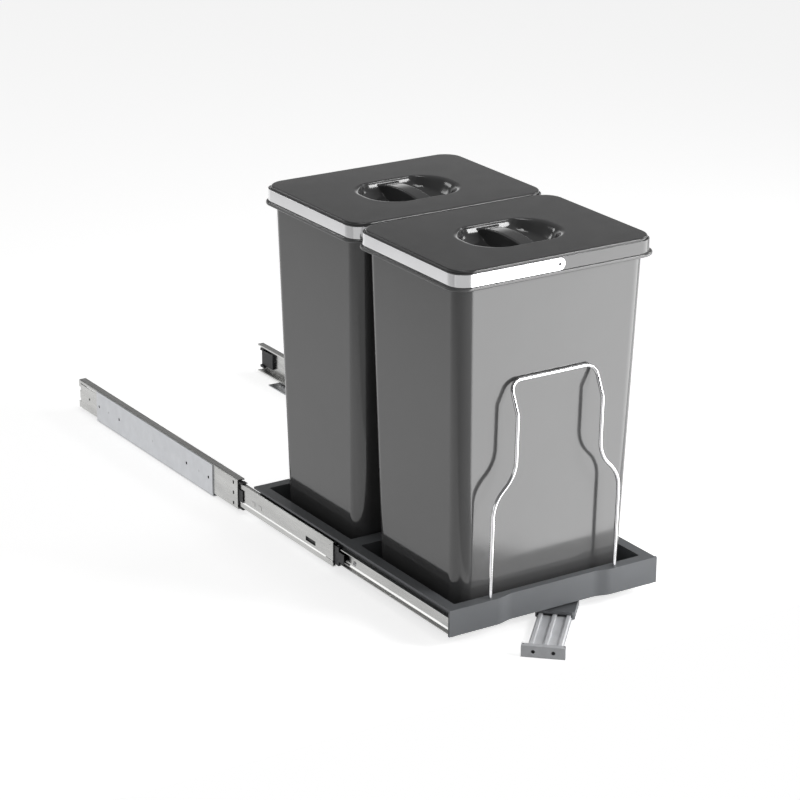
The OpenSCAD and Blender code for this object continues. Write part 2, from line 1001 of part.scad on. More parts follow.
module bin_shell() {
    h = body_h;
    t = bin_wall;
    d0 = draft * h;
    difference() {
        hull() {
            translate([0, 0, bin_z])
                linear_extrude(0.1)
                    rr(body_w - 2 * d0 - 6, body_d - 2 * d0 - 6, bin_r - 3);
            translate([0, 0, bin_z + 3])
                linear_extrude(0.1)
                    rr(body_w - 2 * d0, body_d - 2 * d0, bin_r);
            translate([0, 0, bin_z + h - 0.1])
                linear_extrude(0.1)
                    rr(body_w, body_d, bin_r);
        }
        hull() {
            translate([0, 0, bin_z + t + 0.6])
                linear_extrude(0.1)
                    rr(body_w - 2 * d0 - 2 * t - 4, body_d - 2 * d0 - 2 * t - 4, bin_r - t - 2);
            translate([0, 0, bin_z + 5])
                linear_extrude(0.1)
                    rr(body_w - 2 * d0 - 2 * t, body_d - 2 * d0 - 2 * t, bin_r - t);
            translate([0, 0, bin_z + h + 1])
                linear_extrude(0.1)
                    rr(body_w - 2 * t, body_d - 2 * t, bin_r - t);
        }
    }
}

module bin_body() {
    bin_shell();
    // shoulder from the shell out to the rim
    translate([0, 0, seat_z - seat_t - 0.1])
        linear_extrude(2.5)
            difference() {
                rr(lid_w - 1, lid_d - 1, bail_r);
                rr(body_w - 2 * bin_wall, body_d - 2 * bin_wall, bin_r - bin_wall);
            }
    difference() {
        union() {
            around(lid_w, lid_d, bail_r)
                p_rim(bail_r);
            around(lid_w + 2 * (seat_x - seat_y), lid_d, bail_r)
                p_bead(bail_r);
        }
        for (s = [-1, 1])
            translate([0, s * lid_d / 2, bail_z])
                rotate([90, 0, 0])
                    cylinder(h = 10, r = pivot_r - 0.4, center = true);
    }
}

module pivots() {
    for (s = [0, 1])
        rotate([0, 0, s * 180])
            translate([0, -(lid_d / 2 + rim_out), bail_z])
                rotate([90, 0, 0])
                    difference() {
                        union() {
                            cylinder(h = pivot_len, r = pivot_r);
                            translate([0, 0, 0.2 - rim_wall])
                                cylinder(h = rim_wall - 0.1, r = pivot_r - 0.4);
                        }
                        translate([0, 0, pivot_len - 1])
                            cylinder(h = 2, r = 0.9);
                    }
}

module bail() {
    w = lid_w + 2 * bail_out;
    d = lid_d + 2 * bail_out;
    r = bail_r + bail_out;
    difference() {
        union() {
            translate([0, 0, bail_z - bail_h / 2])
                linear_extrude(bail_h)
                    difference() {
                        rr(w, d, r);
                        rr(w - 2 * bail_t, d - 2 * bail_t, r - bail_t);
                        translate([0, -d])
                            square([w, 2 * d]);
                    }
            for (s = [0, 1])
                rotate([0, 0, s * 180])
                    translate([0, -d / 2 + bail_t, bail_z])
                        rotate([90, 0, 0])
                            cylinder(h = bail_t, r = bail_h / 2);
        }
        translate([0, 0, bail_z])
            rotate([90, 0, 0])
                cylinder(h = 2 * d, r = pivot_r + 0.05, center = true);
    }
}

// Section of the lid's edge and skirt.
module p_lid_edge(r) {
    f = 1.6;
    skirt = r + rim_out - rim_wall - 0.5;
    box_uv(0, r - f, lip_z, lid_top);
    box_uv(r - f - 0.1, r, lip_z, lid_top - f);
    translate([r - f, lid_top - f])
        circle(f);
    box_uv(skirt - 2, skirt, lid_top - 15, lip_z + 0.2);
}

module spoon(a, b, h) {
    translate([0, -grip_shift, lid_top])
        scale([a, b, h])
            sphere(1, $fn = 64);
}

// The recess: steep at its rounded outline, then hollowed like a spoon.
module bowl(grow) {
    intersection() {
        spoon(grip_a + 4 + grow, grip_b + 6 + grow, grip_h + grow);
        translate([0, -grip_shift, lid_top - 60])
            linear_extrude(120)
                rr(2 * (grip_a + grow), 2 * (grip_b + grow), grip_r + grow);
    }
}

// The bridge has hollow sides and a crowned top, flush with the lid in its middle.
module bridge(half, down) {
    wide = grip_b + 14;
    difference() {
        intersection() {
            translate([-40, -wide, -60])
                cube([80, 2 * wide, 100]);
            translate([-50, 0, -bridge_crown])
                rotate([0, 90, 0])
                    cylinder(h = 100, r = bridge_crown - down, $fn = 96);
        }
        for (s = [-1, 1])
            translate([s * (half + 150), 0, -100])
                cylinder(h = 200, r = 150, $fn = 96);
    }
}

module lid_body() {
    t = 2.2;
    difference() {
        union() {
            around(lid_w, lid_d, lid_r)
                p_lid_edge(lid_r);
            translate([0, 0, lip_z])
                linear_extrude(lid_lip) {
                    square([lid_w - 2 * lid_r + 0.02, lid_d - 2 * lid_r + 0.02], center = true);
                }
            intersection() {
                bowl(t);
                translate([-grip_a - 20, -grip_b - 40, lid_top - 50])
                    cube([2 * grip_a + 40, 2 * grip_b + 60, 49]);
            }
        }
        difference() {
            bowl(0);
            translate([0, -grip_shift, lid_top])
                bridge(bridge_half, 0);
        }
        // hollow under the bridge
        intersection() {
            spoon(grip_a - t - 8, grip_b - 2, 90);
            translate([0, -grip_shift, lid_top])
                bridge(bridge_half - t, t + 0.4);
        }
    }
}

module on_bin(i) {
    at_origin()
        translate([0, bin_mid + i * bin_step, 0])
            children();
}

module bin_front() {
    color([0.25, 0.25, 0.26])
        on_bin(0)
            bin_body();
}

module bin_rear() {
    color([0.25, 0.25, 0.26])
        on_bin(1)
            bin_body();
}

module bail_pivots_front() {
    color([0.8, 0.8, 0.82])
        on_bin(0)
            pivots();
}

module bail_pivots_rear() {
    color([0.8, 0.8, 0.82])
        on_bin(1)
            pivots();
}

module bail_front() {
    color([0.9, 0.9, 0.91])
        on_bin(0)
            bail();
}

module bail_rear() {
    color([0.9, 0.9, 0.91])
        on_bin(1)
            bail();
}

module lid_front() {
    color([0.22, 0.22, 0.23])
        on_bin(0)
            lid_body();
}

module lid_rear() {
    color([0.22, 0.22, 0.23])
        on_bin(1)
            lid_body();
}

bracket_left();
bracket_right();
cabinet_rail_left();
cabinet_rail_right();
bracket_rivets();
damper_left();
damper_right();
mid_rail_left();
mid_rail_right();
outer_cage_left();
outer_cage_right();
outer_balls_left();
outer_balls_right();
inner_cage_left();
inner_cage_right();
inner_balls_left();
inner_balls_right();
frame();
carriage_rail_left();
carriage_rail_right();
rail_screws();
bin_pads();
pull_handle();
handle_screws();
skid_pin();
skid();
arm_profile();
door_plate();
plate_pins();
arm_end_stop();
bin_front();
bin_rear();
bail_pivots_front();
bail_pivots_rear();
bail_front();
bail_rear();
lid_front();
lid_rear();
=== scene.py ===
# %% [markdown]
# # Dressing a built-in recycling bin
#
# The CAD model gives every rigid part in its true place. This notebook keeps those places, gives
# each part the finish of the real material, and models again, with soft edges, the parts whose
# look depends most on how light runs over them: tubs, lids and pull handle. The others keep the
# shape of their solids, with broken edges where those show.

import math

import bmesh
import bpy
from mathutils import Matrix, Vector


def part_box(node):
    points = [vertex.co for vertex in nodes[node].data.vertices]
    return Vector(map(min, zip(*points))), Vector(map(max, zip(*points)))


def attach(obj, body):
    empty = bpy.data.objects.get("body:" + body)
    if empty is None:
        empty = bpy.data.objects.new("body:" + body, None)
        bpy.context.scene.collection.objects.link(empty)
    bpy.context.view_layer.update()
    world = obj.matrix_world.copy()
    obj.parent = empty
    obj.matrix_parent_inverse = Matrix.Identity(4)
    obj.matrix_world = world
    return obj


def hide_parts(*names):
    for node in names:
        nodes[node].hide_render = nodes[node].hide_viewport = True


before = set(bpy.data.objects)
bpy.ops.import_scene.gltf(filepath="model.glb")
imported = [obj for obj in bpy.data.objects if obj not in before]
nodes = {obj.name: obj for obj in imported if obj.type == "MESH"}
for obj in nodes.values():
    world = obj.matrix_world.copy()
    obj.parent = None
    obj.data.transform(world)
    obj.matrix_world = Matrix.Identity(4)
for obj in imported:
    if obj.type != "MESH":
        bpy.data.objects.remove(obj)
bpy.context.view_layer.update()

# %% [markdown]
# ## Sizes
#
# Blender works in metres. The sizes below are the ones the CAD model was drawn with, so a moulded
# wall or a bent wire lands exactly where its solid stands.

# %% Sizes of the moulded parts
MM = 0.001
LID_W = 308.7 * MM
LID_D = 234.8 * MM
LID_TOP = 505 * MM
BIN_W = LID_W - 14.8 * MM
BIN_D = LID_D - 12.8 * MM
BIN_LOW = 22 * MM


def middle_of(node):
    low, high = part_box(node)
    return (low + high) / 2


bin_middles = {"front": middle_of("lid_front"), "rear": middle_of("lid_rear")}
lid_low, lid_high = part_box("lid_front")
print("lids stand at", {k: round(v.y, 4) for k, v in bin_middles.items()})
print("lid width and depth", round(LID_W, 4), round(LID_D, 4), "in CAD",
      [round(c, 4) for c in (lid_high - lid_low).xy])

# %% [markdown]
# ## Helpers for the mesh work
#
# A moulded tub is a stack of rounded rectangles. Each one starts as a single quad whose corners are
# bevelled, its face is dropped, and neighbours are bridged. Spinning a profile would only give
# round shapes, and drawing the corners by hand would be slow to change.


# %% Stack of rounded rectangles
def inset(outline, by, z):
    """A station: an outline (width, depth, corner radius) moved inwards and set at a height."""
    width, depth, radius = outline
    return width - 2 * by, depth - 2 * by, radius - by, z


def rounded_loop(bm, width, depth, radius, z, steps=10):
    """Edges of one rounded rectangle at height z."""
    known = set(bm.faces)
    quad = bmesh.ops.create_grid(bm, x_segments=1, y_segments=1, size=0.5)["verts"]
    bmesh.ops.scale(bm, vec=(width, depth, 1), verts=quad)
    bmesh.ops.translate(bm, vec=(0, 0, z), verts=quad)
    bmesh.ops.bevel(bm, geom=quad, offset=radius, offset_type="OFFSET", segments=steps, profile=0.5,
                    affect="VERTICES", clamp_overlap=True, material=-1)
    face = (set(bm.faces) - known).pop()
    edges = list(face.edges)
    bmesh.ops.delete(bm, geom=[face], context="FACES_ONLY")
    return edges


def stack(bm, stations, steps=10, ring=False):
    """Bridges rounded rectangles given as (width, depth, radius, z); a ring also joins its ends."""
    loops = [rounded_loop(bm, *station, steps) for station in stations]
    for a, b in zip(loops, loops[1:]):
        bmesh.ops.bridge_loops(bm, edges=a + b)
    if ring:
        bmesh.ops.bridge_loops(bm, edges=loops[-1] + loops[0])
    return loops


def cap(bm, loop):
    bmesh.ops.contextual_create(bm, geom=loop)


def quarter(start, end, steps=4):
    """Stations along a quarter round from one station to another: it leaves sideways first."""
    out = []
    for i in range(1, steps + 1):
        a = math.pi / 2 * i / steps
        along = (math.sin(a),) * 3 + (1 - math.cos(a),)
        out.append(tuple(p + (q - p) * share for p, q, share in zip(start, end, along)))
    return out


def quarter_in(start, end, steps=4):
    """Stations of a quarter round that leaves upright and ends sideways."""
    return list(reversed(quarter(end, start, steps)[:-1])) + [end]


# %% [markdown]
# Every finished mesh is closed and its normals point outwards. Smooth shading with a weighted
# normal keeps the big flat walls flat and lets only the small rounds turn. A copy of a CAD node
# arrives as loose triangles, so its doubles are merged and its flat faces joined before the bevel.


# %% Finish a mesh
FACE_WEIGHT = 80
MERGE_DISTANCE = 2e-6
FLAT_ANGLE = math.radians(0.5)
EDGE_ANGLE = math.radians(30)


def finish_mesh(bm, name, material, body, angle=40, recalc=True):
    """Makes the object, gives it its material and joins it to its body."""
    if recalc:
        bmesh.ops.recalc_face_normals(bm, faces=bm.faces)
    mesh = bpy.data.meshes.new(name)
    bm.to_mesh(mesh)
    bm.free()
    mesh.shade_smooth()
    mesh.set_sharp_from_angle(angle=math.radians(angle))
    piece = bpy.data.objects.new(name, mesh)
    bpy.context.scene.collection.objects.link(piece)
    mesh.materials.append(material)
    even = piece.modifiers.new("even_shading", "WEIGHTED_NORMAL")
    even.keep_sharp = True
    even.weight = FACE_WEIGHT
    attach(piece, body)
    print(name, len(mesh.polygons), "faces")
    return piece


def softened(node, name, material, body, width):
    """A copy of a CAD node with its sharp edges broken by a small round."""
    bm = bmesh.new()
    bm.from_mesh(nodes[node].data)
    bmesh.ops.remove_doubles(bm, verts=bm.verts, dist=MERGE_DISTANCE)
    bmesh.ops.dissolve_limit(bm, angle_limit=FLAT_ANGLE, use_dissolve_boundaries=False,
                             verts=bm.verts, edges=bm.edges, delimit=set())
    sharp = [e for e in bm.edges if len(e.link_faces) == 2
             and abs(e.calc_face_angle(0)) > EDGE_ANGLE]
    bmesh.ops.bevel(bm, geom=sharp, offset=width, offset_type="OFFSET", segments=2,
                    profile=0.5, affect="EDGES", clamp_overlap=True, material=-1)
    piece = finish_mesh(bm, name, material, body, recalc=False)
    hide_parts(node)


# %% [markdown]
# ## Finishes
#
# Each finish is a small node tree: one Principled shader, a noise that breaks the colour a little,
# one that breaks the roughness, and a bump for the grain. All of them read Object coordinates,
# which are metres here, so the grain has its real size on every piece. A noise is given as the
# number of its cells in a metre, how much it is squeezed along X, Y and Z, and its detail.


# %% Material helpers
NOISE_RANGE = (0.3, 0.7)
PAINTED_SHADE_RANGE = (0.15, 0.65)


class Finish:
    """Builds one node material step by step."""

    def __init__(self, name, colour, roughness, metallic=0.0, ior=1.47, specular=0.5):
        self.material = bpy.data.materials.new(name)
        self.material.use_nodes = True
        self.nodes = self.material.node_tree.nodes
        self.links = self.material.node_tree.links
        self.shader = self.nodes["Principled BSDF"]
        self.shader.inputs["Base Color"].default_value = (*colour, 1)
        self.shader.inputs["Roughness"].default_value = roughness
        self.shader.inputs["Metallic"].default_value = metallic
        self.shader.inputs["IOR"].default_value = ior
        self.shader.inputs["Specular IOR Level"].default_value = specular
        self.colour = colour
        self.place = self.nodes.new("ShaderNodeTexCoord").outputs["Object"]
        self.normal = None

    def noise(self, scale, stretch=(1, 1, 1), detail=3.0, turn=0.0):
        """A noise in the piece's own metres, turned about Z where the piece is."""
        mapping = self.nodes.new("ShaderNodeMapping")
        mapping.inputs["Scale"].default_value = stretch
        mapping.inputs["Rotation"].default_value = (0, 0, turn)
        self.links.new(self.place, mapping.inputs["Vector"])
        noise = self.nodes.new("ShaderNodeTexNoise")
        noise.inputs["Scale"].default_value = scale
        noise.inputs["Detail"].default_value = detail
        self.links.new(mapping.outputs["Vector"], noise.inputs["Vector"])
        return noise.outputs["Fac"]

    def ramp(self, source, low, high):
        """Spreads a noise, which stays near one half, over a range of values."""
        node = self.nodes.new("ShaderNodeMapRange")
        node.inputs["From Min"].default_value = NOISE_RANGE[0]
        node.inputs["From Max"].default_value = NOISE_RANGE[1]
        node.inputs["To Min"].default_value = low
        node.inputs["To Max"].default_value = high
        self.links.new(source, node.inputs["Value"])
        return node.outputs["Result"]

    def tint(self, source, low, high):
        """Lightens and darkens the base colour."""
        mix = self.nodes.new("ShaderNodeMix")
        mix.data_type = "RGBA"
        mix.inputs["A"].default_value = (*[c * low for c in self.colour], 1)
        mix.inputs["B"].default_value = (*[min(1, c * high) for c in self.colour], 1)
        self.links.new(self.ramp(source, 0, 1), mix.inputs["Factor"])
        self.links.new(mix.outputs["Result"], self.shader.inputs["Base Color"])
        return self

    def gloss(self, source, low, high):
        """Varies the roughness."""
        self.links.new(self.ramp(source, low, high), self.shader.inputs["Roughness"])
        return self

    def paint_shade_in_hollows(self, reach, darkest):
        """Paints shade into the base colour where other faces are close."""
        socket = self.shader.inputs["Base Color"]
        near = self.nodes.new("ShaderNodeAmbientOcclusion")
        near.samples = 8
        near.inputs["Distance"].default_value = reach
        shade = self.nodes.new("ShaderNodeMapRange")
        shade.inputs["From Min"].default_value = PAINTED_SHADE_RANGE[0]
        shade.inputs["From Max"].default_value = PAINTED_SHADE_RANGE[1]
        shade.inputs["To Min"].default_value = darkest
        self.links.new(near.outputs["AO"], shade.inputs["Value"])
        mix = self.nodes.new("ShaderNodeMix")
        mix.data_type = "RGBA"
        mix.inputs["A"].default_value = (0, 0, 0, 1)
        self.links.new(socket.links[0].from_socket, mix.inputs["B"])
        self.links.new(shade.outputs["Result"], mix.inputs["Factor"])
        self.links.new(mix.outputs["Result"], socket)
        return self

    def bump(self, source, strength, depth=0.0002):
        """Lays a relief of the given depth in metres over the ones before it."""
        node = self.nodes.new("ShaderNodeBump")
        node.inputs["Strength"].default_value = strength
        node.inputs["Distance"].default_value = depth
        self.links.new(source, node.inputs["Height"])
        if self.normal:
            self.links.new(self.normal, node.inputs["Normal"])
        self.normal = node.outputs["Normal"]
        self.links.new(self.normal, self.shader.inputs["Normal"])
        return self


# %% [markdown]
# The tubs and lids are polypropylene from a polished mould: dark grey, glossy, with a barely
# visible flow in the colour and a faint waviness that softens the reflections.

# %% Plastics
tub = Finish("tub_plastic", (0.100, 0.100, 0.101), 0.09, ior=1.5, specular=0.8)
tub.tint(tub.noise(7), 0.95, 1.05).gloss(tub.noise(60), 0.07, 0.11)
tub.bump(tub.noise(26, detail=1.0), 0.03, 0.0006)

lid = Finish("lid_plastic", (0.060, 0.060, 0.061), 0.12, ior=1.5, specular=0.6)
lid.tint(lid.noise(9), 0.96, 1.04).gloss(lid.noise(40), 0.10, 0.14)
lid.bump(lid.noise(30, detail=1.0), 0.02, 0.0004)

tray = Finish("tray_plastic", (0.165, 0.172, 0.181), 0.42, specular=0.35)
tray.tint(tray.noise(12), 0.94, 1.05).gloss(tray.noise(300), 0.38, 0.48)
tray.bump(tray.noise(2600, detail=2.0), 0.12, 0.00005)

black = Finish("black_plastic", (0.016, 0.016, 0.018), 0.45)
black.tint(black.noise(40), 0.85, 1.2).gloss(black.noise(400), 0.38, 0.55)
black.bump(black.noise(2400, detail=2.0), 0.12, 0.00005)

rubber = Finish("pad_rubber", (0.022, 0.022, 0.022), 0.75)
rubber.tint(rubber.noise(60), 0.85, 1.2).bump(rubber.noise(3000), 0.2, 0.00005)

# %% [markdown]
# The slides are galvanised strip: rolling leaves fine lines along the strip, the zinc shows as a
# soft mottle. The pull handle and the bails are polished, so they need almost no texture, only a
# trace of polishing lines. Lines along Y come from a noise squeezed to a very small scale in Y.
# The shade in the holes, slots and corners of the strip is painted into its colour, which darkens
# there.
# The arm stands askew at rest, so the lines of its extrusion are turned with it.

# %% Metals
ARM_TURN = math.radians(43)

galvanised = Finish("galvanised_strip", (0.53, 0.53, 0.52), 0.32, metallic=1.0)
galvanised.tint(galvanised.noise(70, (1, 0.15, 1), 4.0), 0.88, 1.08)
galvanised.gloss(galvanised.noise(240, (1, 0.05, 1)), 0.24, 0.30)
galvanised.bump(galvanised.noise(1600, (1, 0.012, 1), 2.0), 0.03, 0.00004)
# painted shade in the strip's holes, slots and corners
galvanised.paint_shade_in_hollows(9 * MM, 0.12)

zinc = Finish("zinc_sheet", (0.57, 0.58, 0.60), 0.36, metallic=1.0)
zinc.tint(zinc.noise(60, detail=3.0), 0.95, 1.04).gloss(zinc.noise(200), 0.32, 0.40)
zinc.bump(zinc.noise(1200, (1, 0.3, 1), 2.0), 0.06, 0.00004)
# painted shade in the bracket's holes and corners
zinc.paint_shade_in_hollows(9 * MM, 0.12)

screw_steel = Finish("screw_steel", (0.42, 0.42, 0.43), 0.30, metallic=1.0)
screw_steel.tint(screw_steel.noise(300), 0.85, 1.1).gloss(screw_steel.noise(900), 0.24, 0.38)

ball_steel = Finish("ball_steel", (0.82, 0.82, 0.83), 0.10, metallic=1.0)
ball_steel.tint(ball_steel.noise(500), 0.95, 1.05)

chrome = Finish("polished_wire", (0.88, 0.88, 0.89), 0.07, metallic=1.0)
chrome.tint(chrome.noise(30), 0.97, 1.03).gloss(chrome.noise(400, (1, 1, 0.1)), 0.05, 0.10)

band = Finish("polished_band", (0.84, 0.84, 0.85), 0.12, metallic=1.0)
band.tint(band.noise(20), 0.97, 1.03).gloss(band.noise(900, (0.05, 0.05, 1)), 0.09, 0.17)
band.bump(band.noise(2400, (0.02, 0.02, 1), 2.0), 0.05, 0.00002)

aluminium = Finish("anodised_extrusion", (0.80, 0.81, 0.83), 0.36, metallic=0.2)
aluminium.tint(aluminium.noise(60, (1, 0.1, 1), turn=ARM_TURN), 0.93, 1.05)
aluminium.gloss(aluminium.noise(700, (1, 0.02, 1), turn=ARM_TURN), 0.30, 0.44)
aluminium.bump(aluminium.noise(2200, (1, 0.01, 1), 2.0, turn=ARM_TURN), 0.14, 0.00003)
# painted shade in the grooves of the extrusion
aluminium.paint_shade_in_hollows(5 * MM, 0.15)

plate_paint = Finish("plate_paint", (0.60, 0.61, 0.63), 0.40)
plate_paint.tint(plate_paint.noise(60), 0.94, 1.06).bump(plate_paint.noise(1800), 0.15, 0.00005)
# painted shade, nearly black, in the plate's screw bores
plate_paint.paint_shade_in_hollows(7 * MM, 0.04)

# %% [markdown]
# ## Parts that keep their CAD shape
#
# Cages, balls, screws, rivets, pivots, pads and dampers are small and already right, so only their
# material slots change. The skid sits under the tray and has the tray's grey.

# %% Materials for the CAD parts
CAD_FINISH = {
    black: ["damper_left", "damper_right", "outer_cage_left", "outer_cage_right", "inner_cage_left",
            "inner_cage_right", "arm_end_stop", "plate_pins", "bail_pivots_front",
            "bail_pivots_rear"],
    screw_steel: ["bracket_rivets", "rail_screws", "handle_screws", "skid_pin"],
    ball_steel: ["outer_balls_left", "outer_balls_right", "inner_balls_left", "inner_balls_right"],
    rubber: ["bin_pads"],
    tray: ["skid"],
}
for finish, names in CAD_FINISH.items():
    for name in names:
        for slot in nodes[name].material_slots:
            slot.material = finish.material
print("dressed", sum(len(v) for v in CAD_FINISH.values()), "CAD parts")

# %% [markdown]
# ## Rails, tray, arm and plate
#
# The rails are rolled from strip, the tray is one injection moulding and the arm one extrusion. Their
# solids have dead sharp edges, which real parts never have, so a copy of each is bevelled a
# little. The highlight along such an edge is what makes it read as a real part.

# %% Soft edges on the rails and brackets
STRIP_EDGE = 0.35 * MM

for side in ("left", "right"):
    carriers = {"cabinet_rail": "cabinet_mount", "mid_rail": f"mid_{side}", "carriage_rail": "carriage"}
    for rail, body in carriers.items():
        softened(f"{rail}_{side}", f"{rail}_strip_{side}", galvanised.material, body, STRIP_EDGE)
    softened(f"bracket_{side}", f"bracket_sheet_{side}", zinc.material, "cabinet_mount", STRIP_EDGE)

# %% [markdown]
# The lower third of the intermediate rail stands a little further out than the web above it, and the
# carriage rail swells out above its lower lip. Each slope is a bar with a small section, extruded along
# the rail, and mirrors the horizon as one bright line along it. The bars get a smoother steel than the
# strip and a lighter colour as well: the lighter colour is a painted highlight that makes the line
# brighter. The section's corners are given in millimetres, as the depth behind the rail's outer face
# and the height above its middle.

# %% The rolled slopes of the rails
MID_SLOPE = ((0, -10.2), (0.75, -10.2), (0.75, -8.3))
MID_SLOPE_START = 18 * MM
CARRIAGE_SLOPE = ((3.5, -10.6), (4.6, -10.6), (4.6, -5.0), (3.5, -7.9))
# a smoother copy of the strip steel whose lighter colour is a painted highlight
polish_and_painted_highlight = Finish("polished_strip_painted_highlight", (0.80, 0.80, 0.79), 0.16, metallic=1.0)
polish_and_painted_highlight.tint(polish_and_painted_highlight.noise(70, (1, 0.15, 1), 4.0), 0.92, 1.05)
polish_and_painted_highlight.gloss(polish_and_painted_highlight.noise(240, (1, 0.05, 1)), 0.13, 0.19)


def rolled_slope(rail, side, body, section, start):
    """A bar that begins at a distance behind the rail's front end and runs to its rear end."""
    sign = -1 if side == "left" else 1
    places = [v.co for v in bpy.data.objects[f"{rail}_strip_{side}"].data.vertices]
    out = sign * max(sign * p.x for p in places)
    first, last = min(p.y for p in places) + start, max(p.y for p in places)
    middle = (min(p.z for p in places) + max(p.z for p in places)) / 2
    bm = bmesh.new()
    corners = bmesh.ops.create_circle(bm, cap_ends=True, segments=len(section), radius=1)["verts"]
    for v, (depth, height) in zip(corners, section):
        v.co = (out - sign * depth * MM, first, middle + height * MM)
    moved = bmesh.ops.extrude_face_region(bm, geom=bm.faces[:])["geom"]
    ends = [v for v in moved if isinstance(v, bmesh.types.BMVert)]
    bmesh.ops.translate(bm, vec=(0, last - first, 0), verts=ends)
    piece = finish_mesh(bm, f"{rail}_slope_{side}", polish_and_painted_highlight.material, body, angle=15)


for side in ("left", "right"):
    rolled_slope("mid_rail", side, f"mid_{side}", MID_SLOPE, MID_SLOPE_START)
    rolled_slope("carriage_rail", side, "carriage", CARRIAGE_SLOPE, 0)

# %% [markdown]
# The tray, the arm and the plate get the same treatment. The moulded tray has the roundest edges and
# the extruded arm the sharpest.

# %% Soft edges on the tray, the arm and the plate
TRAY_EDGE = 0.7 * MM
ARM_EDGE = 0.25 * MM
PLATE_EDGE = 0.5 * MM

softened("frame", "tray", tray.material, "carriage", TRAY_EDGE)
softened("arm_profile", "link_arm", aluminium.material, "door_arm", ARM_EDGE)
softened("door_plate", "link_plate", plate_paint.material, "door_arm", PLATE_EDGE)

# %% [markdown]
# The two screw bores of the door plate look black, because the arm behind them keeps the light out.
# A thin black disc inside each bore is that shade, painted. The discs lie either side of the plate's
# middle and face along the arm, so their places follow from the plate's box and the arm's turn.

# %% Painted shade in the door screw bores
SCREW_PITCH = 26.4 * MM
SHADE_DISC_OUT = 1.0 * MM
SHADE_DISC_RADIUS = 2.55 * MM
SHADE_DISC_THICK = 0.4 * MM

# black discs that are painted shade inside the bores
bm = bmesh.new()
outwards = Vector((-math.sin(ARM_TURN), -math.cos(ARM_TURN), 0))
sideways = Vector((math.cos(ARM_TURN), -math.sin(ARM_TURN), 0))
turn = outwards.to_track_quat("Z", "Y").to_matrix().to_4x4()
for sign in (-1, 1):
    shade_disc = middle_of("door_plate") + outwards * SHADE_DISC_OUT + sideways * sign * SCREW_PITCH / 2
    bmesh.ops.create_cone(bm, cap_ends=True, segments=24, radius1=SHADE_DISC_RADIUS, radius2=SHADE_DISC_RADIUS,
                          depth=SHADE_DISC_THICK, matrix=Matrix.Translation(shade_disc) @ turn)
finish_mesh(bm, "door_screw_painted_shade", black.material, "door_arm")

# %% [markdown]
# ## The tubs
#
# The wall leans in by its draft towards the floor so that the moulding leaves its mould. At the top
# it turns out into a shoulder, a round bead that carries the bail, and an upright rim for the lid.


# %% Sizes of the tub
DRAFT = 0.0272
WALL = 2.2 * MM
KNEE = 6 * MM
SEAT_LOW = 478.6 * MM
SEAT_TOP = 483.6 * MM
LIP_TOP = 501.3 * MM
LIP_THICK = 2.4 * MM
BEAD_ROUND = 1.8 * MM
LEAN = DRAFT * (SEAT_LOW - BIN_LOW)
CORNER = 22 * MM
NECK = (BIN_W, BIN_D, CORNER)
FOOT = (BIN_W - 2 * LEAN, BIN_D - 2 * LEAN, CORNER)
BEAD = (LID_W + 11.2 * MM, LID_D + 5.8 * MM, 24.9 * MM)
RIM = (LID_W + 1.4 * MM, LID_D + 1.4 * MM, 22.7 * MM)
RIM_FOOT = (RIM[0] + 0.5 * MM, RIM[1] + 0.5 * MM, 22.9 * MM)
RING_GAP = 0.1 * MM
RIM_RISE = 0.4 * MM
FLARE = ((0, -2.0), (0.6, -0.6), (2.4, 0))
LIP_FOOT = SEAT_LOW + 3 * MM
NECK_STEP = 2 * MM
FLOOR_TOP = BIN_LOW + 2.8 * MM
FLOOR_ROUND = 5 * MM
FLOOR_EDGE = BIN_LOW + 8 * MM


# %% The tub's outside
def outer_wall():
    """The rounded foot, the drafted wall, and the flare that turns out into the shoulder."""
    foot = inset(FOOT, KNEE, BIN_LOW)
    flare = [(BIN_W + wider * MM, BIN_D + wider * MM, CORNER, SEAT_LOW + rise * MM)
             for wider, rise in FLARE]
    return [foot] + quarter(foot, inset(FOOT, 0, BIN_LOW + KNEE), 5) + flare


def bead():
    """The round bar that carries the bail."""
    low = inset(BEAD, BEAD_ROUND, SEAT_LOW)
    side_low = inset(BEAD, 0, SEAT_LOW + BEAD_ROUND)
    side_top = inset(BEAD, 0, SEAT_TOP - BEAD_ROUND)
    top = inset(BEAD, BEAD_ROUND, SEAT_TOP)
    return [low] + quarter(low, side_low) + [side_top] + quarter_in(side_top, top)


def lip():
    """The upright rim with its rounded top, down to the inside of the neck."""
    half = LIP_THICK / 2
    out = [(*RIM_FOOT, SEAT_TOP + RING_GAP), inset(RIM, 0, SEAT_TOP + RIM_RISE)]
    for degrees in (0, 45, 90, 135, 180):
        a = math.radians(degrees)
        out.append(inset(RIM, half * (1 - math.cos(a)), LIP_TOP - half * (1 - math.sin(a))))
    return out + [inset(RIM, LIP_THICK, LIP_FOOT)]


# %% [markdown]
# The lip's first ring stands a little above the bead's last one, by RING_GAP. If both lay in one
# plane, the bridge between them could twist and run across the mouth of the tub.


# %% The tub's inside, and both tubs
def inside():
    """The inner face of the wall and the rounded floor."""
    inner = inset(FOOT, WALL, FLOOR_EDGE)
    floor = inset(FOOT, WALL + FLOOR_ROUND, FLOOR_TOP)
    neck = [inset(NECK, WALL, SEAT_LOW + NECK_STEP), inset(NECK, WALL, SEAT_LOW - NECK_STEP)]
    return neck + [inner] + quarter_in(inner, floor)


def make_tub(side):
    bm = bmesh.new()
    loops = stack(bm, outer_wall() + bead() + lip() + inside())
    cap(bm, loops[0])
    cap(bm, loops[-1])
    bmesh.ops.translate(bm, vec=(0, bin_middles[side].y, 0), verts=bm.verts)
    piece = finish_mesh(bm, f"tub_{side}", tub.material, f"{side}_bin")
    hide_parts(f"bin_{side}")


for side in bin_middles:
    make_tub(side)

